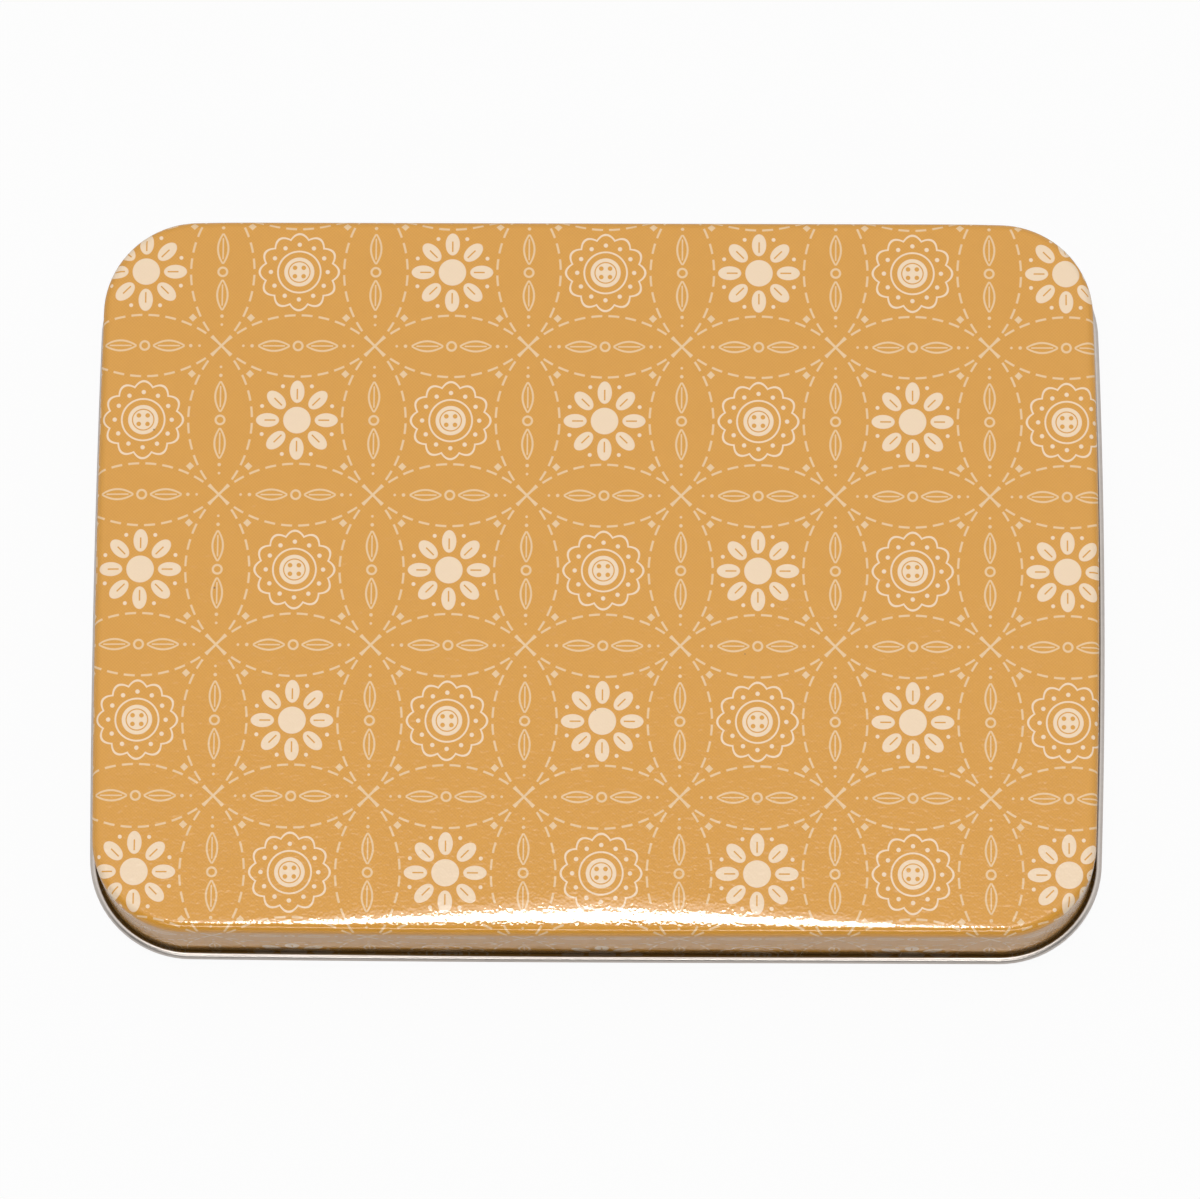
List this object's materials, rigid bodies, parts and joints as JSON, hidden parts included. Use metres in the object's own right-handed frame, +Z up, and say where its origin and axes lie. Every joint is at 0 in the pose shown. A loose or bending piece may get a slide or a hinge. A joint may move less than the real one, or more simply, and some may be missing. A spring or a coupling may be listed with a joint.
{
  "type": "sewing tin",
  "caption": "Shallow rectangular tinplate box with rounded corners, a printed lid with a rolled silver edge, and a wire hinge along the back.",
  "frame": {"origin": "middle of the tin's outline in plan, on the surface that it stands on", "axes": "+X across the width to the right as seen from the front, +Y from the front to the hinged back, +Z up"},
  "size_m": [0.1852, 0.1362, 0.025],
  "materials": {
    "bare_tinplate": "bright bare tinplate with a faint rolling grain",
    "printed_tinplate": "golden ochre litho print with cream motifs under gloss varnish; rolled edge and inside left bare",
    "steel_wire": "drawn steel wire"
  },
  "bodies": {
    "tray": {"base_tray": "bare_tinplate"},
    "lid": {"lid_shell": "printed_tinplate", "hinge_pin_left": "steel_wire", "hinge_pin_right": "steel_wire"}
  },
  "joints": [
    {"name": "lid_hinge", "type": "hinge", "parent": "tray", "child": "lid", "pos_m": [0, 0.06715, 0.00685], "axis": [-1, 0, 0], "range_deg": [0, 110]}
  ]
}
